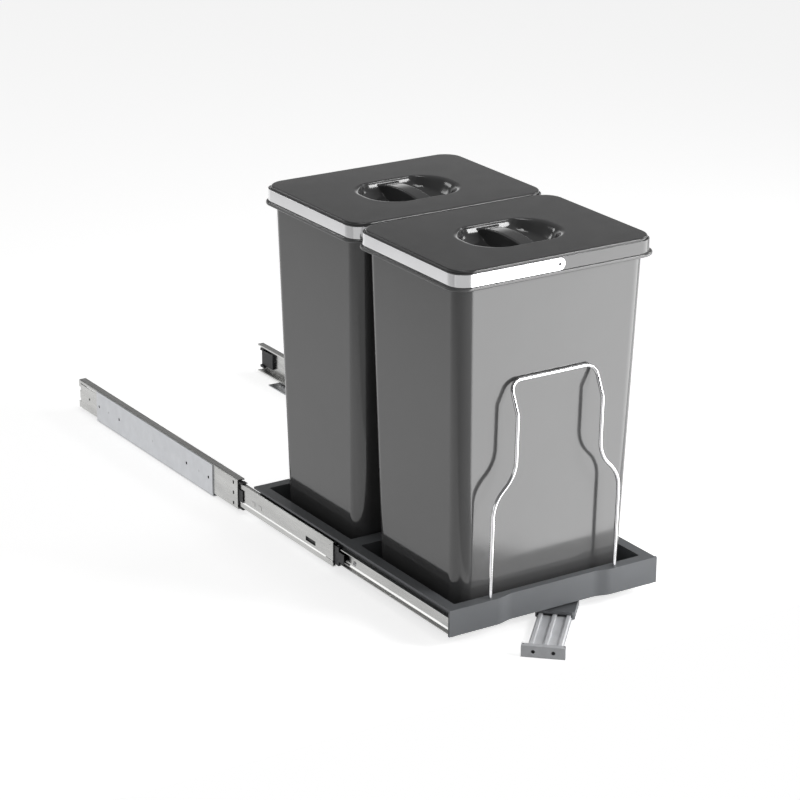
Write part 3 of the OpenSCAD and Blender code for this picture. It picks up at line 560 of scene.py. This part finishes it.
# %% [markdown]
# ## The lids
#
# A lid is a sheet with a rounded edge and a bowl in it, and the grip is a crowned bridge that the
# mould leaves standing across the bowl. Bowl and bridge are one surface, so they are modelled as one
# grid. Its rows and columns are pushed together where the surface bends sharply, at the rolled edge
# and at the sides of the bridge, and then every point sinks by the smallest of three drops: that of
# the rolled edge, that of the spoon-shaped floor and that of the bridge.

# %% Sizes of the bowl
GRIP_A = 75 * MM
GRIP_B = 52.5 * MM
GRIP_R = 46 * MM
GRIP_SHIFT = 6.5 * MM
SPOON_DEPTH = 25 * MM
SPOON_A = GRIP_A + 4 * MM
SPOON_B = GRIP_B + 6 * MM
SPOON_POWER = 2.2
FLOOR_BLEND = 3 * MM

# %% Sizes of the bridge
BRIDGE_HALF = 11.3 * MM
BRIDGE_ROUND = 13 * MM
BRIDGE_STRAIGHT = 38 * MM
FLARE_SHARE = 0.96
BRIDGE_CROWN = 225 * MM
BRIDGE_EDGE = 2 * MM
BRIDGE_STEEP = math.radians(84)
FOOT_BLEND_MIDDLE = 8 * MM
FOOT_BLEND_END = 1.2 * MM

# %% [markdown]
# The wall of the bowl is tight and steep along its long sides and rolls in gently at its ends. Below
# the tight edge runs a hollow slope, a parabola that goes on as a straight line; its four values
# are in millimetres.

# %% Sizes of the bowl's wall
SIDE_ROLL, END_ROLL = 2 * MM, 13 * MM
SIDE_STEEP, END_STEEP = 85, 58
END_START, END_RUN = 36 * MM, 30 * MM
SLOPE_TOP, SLOPE_START, SLOPE_BEND, SLOPE_RUN = 3.0, 2.6, 0.13, 7.0
EDGE_BLEND = 0.6 * MM


# %% The drop of the surface at a place
def between(a, b, share):
    return a + (b - a) * share


def rolled(inside, radius, steep):
    """Drop at a distance inside an edge: a round first, then a steep wall."""
    turn = radius * math.sin(steep)
    if inside <= 0:
        return 0.0
    if inside < turn:
        return radius - math.sqrt(radius**2 - inside**2)
    return radius * (1 - math.cos(steep)) + (inside - turn) * math.tan(steep)


def lesser(a, b, blend):
    """The smaller of two drops, with a soft change from one to the other."""
    share = max(0.0, min(1.0, 0.5 + (b - a) / (2 * blend)))
    return b + (a - b) * share - blend * share * (1 - share)


def bowl_edge(y):
    """Half width of the bowl at a distance y from its middle."""
    over = max(0.0, abs(y) - (GRIP_B - GRIP_R))
    return GRIP_A - GRIP_R + math.sqrt(max(0.0, GRIP_R**2 - over**2))


def inside_edge(x, y):
    """Distance from the bowl's outline, a rounded rectangle."""
    dx, dy = abs(x) - (GRIP_A - GRIP_R), abs(y) - (GRIP_B - GRIP_R)
    return GRIP_R - math.hypot(max(dx, 0), max(dy, 0)) - min(max(dx, dy), 0)


def bridge_edge(y):
    """Half width of the bridge at y: it flares where it runs into the wall of the bowl."""
    over = min(max(0.0, abs(y) - BRIDGE_STRAIGHT), FLARE_SHARE * BRIDGE_ROUND)
    return BRIDGE_HALF + BRIDGE_ROUND - math.sqrt(BRIDGE_ROUND**2 - over**2)


def smooth_step(x):
    x = max(0.0, min(1.0, x))
    return x * x * (3 - 2 * x)


def slope_drop(depth):
    """Drop of the hollow slope at a depth inside the tight edge, both in millimetres."""
    curved = min(depth, SLOPE_RUN)
    last = SLOPE_START - 2 * SLOPE_BEND * SLOPE_RUN
    return SLOPE_TOP + SLOPE_START * curved - SLOPE_BEND * curved**2 + last * (depth - curved)


def wall(x, y):
    """Drop of the bowl's wall, from the long sides to the ends."""
    depth = inside_edge(x, y)
    end = smooth_step((abs(x) - END_START) / END_RUN)
    steep = math.radians(between(SIDE_STEEP, END_STEEP, end))
    edge = rolled(depth, between(SIDE_ROLL, END_ROLL, end), steep)
    slope = slope_drop(max(0.0, depth - SIDE_ROLL) / MM) * MM
    return lesser(edge, slope, EDGE_BLEND)


def drop(x, y):
    """Drop of bowl and bridge together."""
    away = (abs(x) / SPOON_A) ** SPOON_POWER + (abs(y) / SPOON_B) ** SPOON_POWER
    spoon = SPOON_DEPTH * math.sqrt(max(0, 1 - away))
    floor = lesser(wall(x, y), spoon, FLOOR_BLEND)
    crown = BRIDGE_CROWN - math.sqrt(BRIDGE_CROWN**2 - y * y)
    side = rolled(abs(x) - bridge_edge(y) + BRIDGE_EDGE, BRIDGE_EDGE, BRIDGE_STEEP)
    foot = between(FOOT_BLEND_MIDDLE, FOOT_BLEND_END, (y / GRIP_B) ** 2)
    return max(0.0, lesser(crown + side, floor, foot))


# %% [markdown]
# The grid's lines stand close together where the surface bends: NEAR_EDGE lists their distances from
# the bowl's outline and NEAR_SIDE those from the bridge's side, in millimetres. Between these groups
# the lines are spread evenly.

# %% Model bowl and bridge
NEAR_EDGE = (0, 0.25, 0.6, 1.0, 1.4, 1.75, 1.95, 2.2, 2.5, 2.8, 3.1, 3.5, 3.9, 4.4, 5.0, 5.8, 6.8,
             8.0)
NEAR_SIDE = (-2.1, -1.6, -1.2, -0.8, -0.5, -0.25, 0.0, 0.25, 0.5, 0.8, 1.1, 1.4, 1.7, 2.0, 2.25,
             2.5, 2.8, 3.2, 4.0, 5.0)
ROOM_BESIDE = 15 * MM
BRIDGE_COLUMNS = 4
BOWL_COLUMNS = 13
BOWL_ROWS = 14


def spread(start, end, steps):
    return [start + (end - start) * k / steps for k in range(steps + 1)]


def columns(y):
    """Half of a row, from the middle of the bridge to the outline."""
    edge, outline = bridge_edge(y), bowl_edge(y)
    tight = min(1.0, (outline - edge) / ROOM_BESIDE)
    side = [edge + k * tight * MM for k in NEAR_SIDE]
    rim = [outline - k * tight * MM for k in reversed(NEAR_EDGE)]
    top = spread(0, side[0], BRIDGE_COLUMNS)[:-1]
    return top + side + spread(side[-1], rim[0], BOWL_COLUMNS)[1:-1] + rim


def both_ways(half):
    """Mirrors the places on one side of the middle to the other."""
    return [-v for v in reversed(half[1:])] + half


def bowl(bm):
    """Makes the grid of bowl and bridge; returns its outer edges."""
    rim = [GRIP_B - k * MM for k in reversed(NEAR_EDGE)]
    rows = both_ways(spread(0, rim[0], BOWL_ROWS)[:-1] + rim)
    places = [[(x, y) for x in both_ways(columns(y))] for y in rows]
    nx, ny = len(places[0]) - 1, len(rows) - 1
    verts = bmesh.ops.create_grid(bm, x_segments=nx, y_segments=ny, size=1)["verts"]
    for v in verts:
        x, y = places[round((v.co.y + 1) * ny / 2)][round((v.co.x + 1) * nx / 2)]
        v.co = (x, y - GRIP_SHIFT, LID_TOP - drop(x, y))
    deepest = max(drop(x, y) for row in places for x, y in row)
    print("bowl grid of", nx, "by", ny, "faces, deepest", round(deepest / MM, 1), "mm")
    return list({e for v in verts for e in v.link_edges if e.is_boundary})


# %% [markdown]
# The sheet runs from the outline's rolled edge to the bowl; a fill closes the flat between the two,
# and solidify gives it its thickness. A skirt under it goes round the tub's lip.

# %% Model the lids
LID = (LID_W, LID_D, 27 * MM)
LID_ROUND = 2.2 * MM
LID_EDGE = 3.4 * MM
LID_THICK = 2 * MM
SKIRT_IN = 2.2 * MM
SKIRT_THICK = 2 * MM
SKIRT_LOW = LID_TOP - 15 * MM
SKIRT_TOP = LID_TOP - 2.4 * MM


def rolled_edge():
    flat = inset(LID, LID_ROUND, LID_TOP)
    side = inset(LID, 0, LID_TOP - LID_ROUND)
    return [flat] + quarter(flat, side) + [inset(LID, 0, LID_TOP - LID_EDGE)]


def top_sheet(bm):
    """Rolled edge, flat and bowl as one thin sheet that faces upwards."""
    loops = stack(bm, rolled_edge(), steps=14)
    bmesh.ops.triangle_fill(bm, edges=loops[0] + bowl(bm), use_beauty=True, use_dissolve=False,
                            normal=(0, 0, 1))
    bmesh.ops.recalc_face_normals(bm, faces=bm.faces)
    top = max(bm.faces, key=lambda f: f.calc_center_median().z)
    if top.normal.z < 0:
        bmesh.ops.reverse_faces(bm, faces=bm.faces)


def skirt(bm):
    inner = SKIRT_IN + SKIRT_THICK
    stack(bm, [inset(LID, SKIRT_IN, SKIRT_LOW), inset(LID, SKIRT_IN, SKIRT_TOP),
               inset(LID, inner, SKIRT_TOP), inset(LID, inner, SKIRT_LOW)], ring=True)


def make_lid(side):
    bm = bmesh.new()
    top_sheet(bm)
    bmesh.ops.solidify(bm, geom=bm.faces[:], thickness=LID_THICK)
    skirt(bm)
    bmesh.ops.translate(bm, vec=(0, bin_middles[side].y, 0), verts=bm.verts)
    print("lid top at", round(max(v.co.z for v in bm.verts), 5))
    piece = finish_mesh(bm, f"lid_moulding_{side}", lid.material, f"{side}_lid", recalc=False)
    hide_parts(f"lid_{side}")


for side in bin_middles:
    make_lid(side)

# %% [markdown]
# ## The bails
#
# A bail is a strip of polished steel bent round the rim. Its solid is right, so a copy with broken
# edges is enough; the thin round along each edge catches the light.

# %% Bails
BAIL_EDGE = 0.2 * MM

for side in bin_middles:
    softened(f"bail_{side}", f"bail_band_{side}", band.material, f"{side}_bail", BAIL_EDGE)

# %% [markdown]
# ## The pull handle
#
# The handle is one length of round wire, bent on a former. The mesh is made the same way: a circle
# is pushed along the straights with extrude and turned round each bend with spin.

# %% Sizes of the handle
ALONG_X, ALONG_Y, UP_Z = Vector((1, 0, 0)), Vector((0, 1, 0)), Vector((0, 0, 1))
WIRE_R = 2.5 * MM
FOOT_X = 100.5 * MM
FOOT_Y = 6.4 * MM
NECK_X = 67.2 * MM
RIM_Z = 54.6 * MM
FOOT_LOW = 40 * MM
SHOULDER_Z = 168 * MM
SHOULDER_TURN = math.radians(45)
SHOULDER_RUN = 6 * MM
KNEE_Z = 300 * MM
KNEE_R = 14 * MM
LEAN_BACK = math.radians(26)
KNEE_STEPS = 8
LEAN_RUN = 42 * MM
TOP_R = 15.5 * MM
TILT = math.radians(1.4)
LID_BACK = 12.5 * MM
UNIT_FRONT = bin_middles["front"].y - (LID_BACK + LID_D / 2)


# %% Push and bend a wire
class Wire:
    """A round wire that grows from its first ring."""

    def __init__(self, start, direction):
        self.bm = bmesh.new()
        self.at = Vector(start)
        self.way = Vector(direction).normalized()
        turn = UP_Z.rotation_difference(self.way).to_matrix().to_4x4()
        bmesh.ops.create_circle(self.bm, cap_ends=True, radius=WIRE_R, segments=24,
                                matrix=Matrix.Translation(self.at) @ turn)
        self.ring = list(self.bm.edges)

    def push(self, length):
        """Grows straight on."""
        made = bmesh.ops.extrude_edge_only(self.bm, edges=self.ring)["geom"]
        points = [g for g in made if isinstance(g, bmesh.types.BMVert)]
        bmesh.ops.translate(self.bm, vec=self.way * length, verts=points)
        self.ring = [g for g in made if isinstance(g, bmesh.types.BMEdge)]
        self.at = self.at + self.way * length

    def bend(self, side, radius, angle, steps=14):
        """Turns towards the side vector about a centre one radius away."""
        side = Vector(side).normalized()
        axis = self.way.cross(side)
        centre = self.at + side * radius
        made = bmesh.ops.spin(self.bm, geom=self.ring, cent=centre, axis=axis, dvec=(0, 0, 0),
                              angle=angle, steps=steps, use_duplicate=False)["geom_last"]
        self.ring = [g for g in made if isinstance(g, bmesh.types.BMEdge)]
        turn = Matrix.Rotation(angle, 3, axis)
        self.at = centre + turn @ (self.at - centre)
        self.way = turn @ self.way


# %% [markdown]
# The bending starts at the left foot and ends at the right one. The radius of the shoulders follows
# from how far they bring the wire in, and the straight neck is what is left of the height. The
# printed end shows whether the right foot comes down where it should.

# %% Bend the handle
SHOULDER_R = ((FOOT_X - NECK_X - SHOULDER_RUN * math.sin(SHOULDER_TURN))
              / (2 * (1 - math.cos(SHOULDER_TURN))))
SHOULDER_RISE = 2 * SHOULDER_R * math.sin(SHOULDER_TURN) + SHOULDER_RUN * math.cos(SHOULDER_TURN)
NECK_RUN = KNEE_Z - SHOULDER_Z - SHOULDER_RISE


def shoulder(wire, backwards):
    """Two equal bends with a short straight between them, first inwards or outwards, then back."""
    wire.bend(ALONG_X, SHOULDER_R, SHOULDER_TURN)
    wire.push(SHOULDER_RUN)
    wire.bend(wire.way.cross(backwards), SHOULDER_R, SHOULDER_TURN)


def left_half(wire):
    wire.push(SHOULDER_Z - FOOT_LOW)
    shoulder(wire, ALONG_Y)
    wire.push(NECK_RUN)
    wire.bend(ALONG_Y, KNEE_R, LEAN_BACK, KNEE_STEPS)
    wire.push(LEAN_RUN - TOP_R)


def right_half(wire):
    wire.push(LEAN_RUN - TOP_R)
    wire.bend(ALONG_X.cross(wire.way), KNEE_R, LEAN_BACK, KNEE_STEPS)
    wire.push(NECK_RUN)
    shoulder(wire, -ALONG_Y)
    wire.push(SHOULDER_Z - FOOT_LOW)


def make_handle():
    wire = Wire((-FOOT_X, 0, FOOT_LOW), UP_Z)
    left_half(wire)
    lean = wire.way.copy()
    wire.bend(ALONG_X, TOP_R, math.pi / 2)
    wire.push(2 * (NECK_X - TOP_R))
    wire.bend(-lean, TOP_R, math.pi / 2)
    right_half(wire)
    cap(wire.bm, wire.ring)
    print("the wire ends at", [round(c / MM, 2) for c in wire.at])
    tilt = Matrix.Rotation(TILT, 3, "X")
    bmesh.ops.rotate(wire.bm, cent=UP_Z * RIM_Z, matrix=tilt, verts=wire.bm.verts)
    bmesh.ops.translate(wire.bm, vec=(0, UNIT_FRONT + FOOT_Y, 0), verts=wire.bm.verts)
    piece = finish_mesh(wire.bm, "handle_wire", chrome.material, "carriage")
    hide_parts("pull_handle")


make_handle()

# %% [markdown]
# ## Floor, light and camera
#
# The plastic is dark and glossy, so what it mirrors matters more than what lights it. The camera
# sees white everywhere, but a mirror sees a room: a white floor that fades to the left and to the
# front, a bright band at the horizon and a dark ceiling. Light Path tells the two apart.


# %% Seen by the camera or in a mirror
def reckon(tree, operation, a, b):
    node = tree.nodes.new("ShaderNodeMath")
    node.operation = operation
    tree.links.new(a, node.inputs[0])
    tree.links.new(b, node.inputs[1])
    return node.outputs[0]


def seen(tree, *rays):
    """1 for the given kinds of ray, else 0."""
    path = tree.nodes.new("ShaderNodeLightPath")
    found = path.outputs[rays[0]]
    for ray in rays[1:]:
        found = reckon(tree, "MAXIMUM", found, path.outputs[ray])
    return found


def by_camera(tree):
    return seen(tree, "Is Camera Ray")


def in_mirror(tree):
    return seen(tree, "Is Glossy Ray", "Is Transmission Ray")


def fade(tree, source, start, end, low, high):
    """A soft step in brightness."""
    node = tree.nodes.new("ShaderNodeMapRange")
    node.interpolation_type = "SMOOTHSTEP"
    node.inputs["From Min"].default_value = start
    node.inputs["From Max"].default_value = end
    node.inputs["To Min"].default_value = low
    node.inputs["To Max"].default_value = high
    tree.links.new(source, node.inputs["Value"])
    return node.outputs["Result"]


# %% [markdown]
# The floor is matt paper, so it keeps the object's shadow. A little glow of its own lifts it to
# white for the camera. It ends in front of the tray, and the glow that a mirror sees is weaker at
# its left and front, which darkens what the walls of the tubs mirror low down.

# %% Floor
FLOOR_TONE = 0.82
FLOOR_GLOW = 0.70
FLOOR_HALF = 3.0
FLOOR_FRONT = -0.60
LEFT_FADE = (-0.5, -1.7, 1, 0.25)
FRONT_FADE = (-0.15, FLOOR_FRONT, 1, 0.70)

bm = bmesh.new()
bmesh.ops.create_grid(bm, x_segments=8, y_segments=8, size=FLOOR_HALF)
bmesh.ops.translate(bm, vec=(0, FLOOR_FRONT + FLOOR_HALF, 0), verts=bm.verts)
floor_mesh = bpy.data.meshes.new("floor")
bm.to_mesh(floor_mesh)
bm.free()
floor = bpy.data.objects.new("floor", floor_mesh)
bpy.context.scene.collection.objects.link(floor)
print("floor from y", FLOOR_FRONT, "to", FLOOR_FRONT + 2 * FLOOR_HALF)

# %% Paper of the floor
paper = bpy.data.materials.new("paper_floor")
paper.use_nodes = True
tree = paper.node_tree
tree.nodes.clear()
out = tree.nodes.new("ShaderNodeOutputMaterial")
matt = tree.nodes.new("ShaderNodeBsdfDiffuse")
matt.inputs["Color"].default_value = (FLOOR_TONE, FLOOR_TONE, FLOOR_TONE, 1)
glow = tree.nodes.new("ShaderNodeEmission")
glow.inputs["Color"].default_value = (FLOOR_GLOW, FLOOR_GLOW, FLOOR_GLOW, 1)
across = tree.nodes.new("ShaderNodeSeparateXYZ")
tree.links.new(tree.nodes.new("ShaderNodeTexCoord").outputs["Object"], across.inputs[0])
to_left = fade(tree, across.outputs["X"], *LEFT_FADE)
to_front = fade(tree, across.outputs["Y"], *FRONT_FADE)
dimmed = reckon(tree, "MULTIPLY", in_mirror(tree), reckon(tree, "MULTIPLY", to_left, to_front))
tree.links.new(reckon(tree, "MAXIMUM", by_camera(tree), dimmed), glow.inputs["Strength"])
both = tree.nodes.new("ShaderNodeAddShader")
tree.links.new(matt.outputs[0], both.inputs[0])
tree.links.new(glow.outputs[0], both.inputs[1])
tree.links.new(both.outputs[0], out.inputs["Surface"])
floor_mesh.materials.append(paper)

# %% [markdown]
# The world is white for the camera and a weak even light for everything matt. In a mirror it is the
# room: bright at the horizon, dark above, and darker still on the side from which the object is
# photographed. The bright band gives the rails their bright lines, the dark ceiling and the dark
# side keep the lids and the polished edges deep.

# %% World
WORLD_TONE = 0.20
HORIZON = 1.3
CEILING = 0.24
HORIZON_FADE = (0.08, 0.30, HORIZON, CEILING)
DARK_SIDE = Vector((-0.546, -0.838, 0))
DARK_SIDE_FADE = (0.2, 0.75, 1, 0.45)


def mixed(tree, factor, low, high):
    """Chooses between two brightnesses, each a number or another node's output."""
    mix = tree.nodes.new("ShaderNodeMix")
    mix.data_type = "RGBA"
    tree.links.new(factor, mix.inputs["Factor"])
    for name, value in (("A", low), ("B", high)):
        if isinstance(value, float):
            mix.inputs[name].default_value = (value, value, value, 1)
        else:
            tree.links.new(value, mix.inputs[name])
    return mix.outputs["Result"]


world = bpy.data.worlds.new("studio")
bpy.context.scene.world = world
world.use_nodes = True
tree = world.node_tree
way = tree.nodes.new("ShaderNodeTexCoord").outputs["Generated"]
towards = tree.nodes.new("ShaderNodeVectorMath")
towards.operation = "DOT_PRODUCT"
towards.inputs[1].default_value = DARK_SIDE
tree.links.new(way, towards.inputs[0])
parts = tree.nodes.new("ShaderNodeSeparateXYZ")
tree.links.new(way, parts.inputs[0])
room = reckon(tree, "MULTIPLY", fade(tree, towards.outputs["Value"], *DARK_SIDE_FADE),
              fade(tree, parts.outputs["Z"], *HORIZON_FADE))
mirrored = mixed(tree, in_mirror(tree), WORLD_TONE, room)
shown = mixed(tree, by_camera(tree), mirrored, 1.0)
tree.links.new(shown, tree.nodes["Background"].inputs["Color"])
print("world", WORLD_TONE, "on matt faces,", HORIZON, "to", CEILING, "in a mirror")

# %% [markdown]
# Each lamp is a soft panel whose face has a chosen brightness, where 1 is white, so its reflection
# can be judged like a colour. The tubs' front walls mirror the front panel, and two weaker strips
# beside it soften its edge. The windows draw the highlights on the rims and in the bowls, and the
# ceiling panel gives the general light from above.


# %% Lamps
def soft_panel(name, place, aim, width, height, brightness):
    """A lamp at a place, turned towards an aim; all lengths in metres."""
    lamp = bpy.data.lights.new(name, "AREA")
    lamp.shape = "RECTANGLE"
    lamp.size, lamp.size_y = width, height
    lamp.energy = brightness * math.pi * width * height
    holder = bpy.data.objects.new(name, lamp)
    holder.location = place
    holder.rotation_mode = "QUATERNION"
    holder.rotation_quaternion = (Vector(aim) - Vector(place)).to_track_quat("-Z", "Y")
    bpy.context.scene.collection.objects.link(holder)
    print(name, "gives", round(lamp.energy, 2), "W")


soft_panel("front_panel", (0.89, -1.08, 0.03), (0.03, -0.41, 0.03), 1.4, 1.0, 2.9)
soft_panel("panel_edge", (0.412, -1.695, 0.03), (-0.448, -1.025, 0.03), 0.13, 1.0, 2.1)
soft_panel("panel_fringe", (0.332, -1.798, 0.03), (-0.528, -1.128, 0.03), 0.13, 1.0, 1.0)
soft_panel("front_window", (0.90, -1.62, 1.12), (0.0, -0.20, 0.50), 0.5, 0.50, 15.0)
soft_panel("ceiling_panel", (0.0, -0.2, 2.7), (0.0, -0.2, 0.0), 0.8, 0.8, 5.0)
soft_panel("right_window", (1.60, -0.10, 1.42), (0.0, -0.25, 0.50), 0.5, 0.4, 6.0)
soft_panel("back_window", (-2.25, 4.70, 2.95), (0.0, 0.0, 0.30), 0.65, 0.9, 4.5)

# %% [markdown]
# The camera's place and axes were solved from the straight edges of the object in the photograph.
# The solved axes are rounded, so they are squared again before they turn the camera.

# %% Camera
LENS = 128.98
SENSOR = 36
RIGHT = Vector((0.8396, -0.5432, 0.0078))
BACK = Vector((-0.5118, -0.7860, 0.3468))
PLACE = Vector((-2.0589, -3.2534, 1.5879))

camera_data = bpy.data.cameras.new("camera")
camera_data.lens = LENS
camera_data.sensor_width = SENSOR
camera = bpy.data.objects.new("camera", camera_data)
bpy.context.scene.collection.objects.link(camera)
back_way = BACK.normalized()
right_way = (RIGHT - RIGHT.dot(back_way) * back_way).normalized()
up_way = back_way.cross(right_way)
turn = Matrix((right_way, up_way, back_way)).transposed().to_4x4()
camera.matrix_world = Matrix.Translation(PLACE) @ turn
bpy.context.scene.camera = camera
bpy.context.scene.view_settings.view_transform = "Standard"
print("camera looks from", [round(c, 3) for c in PLACE])
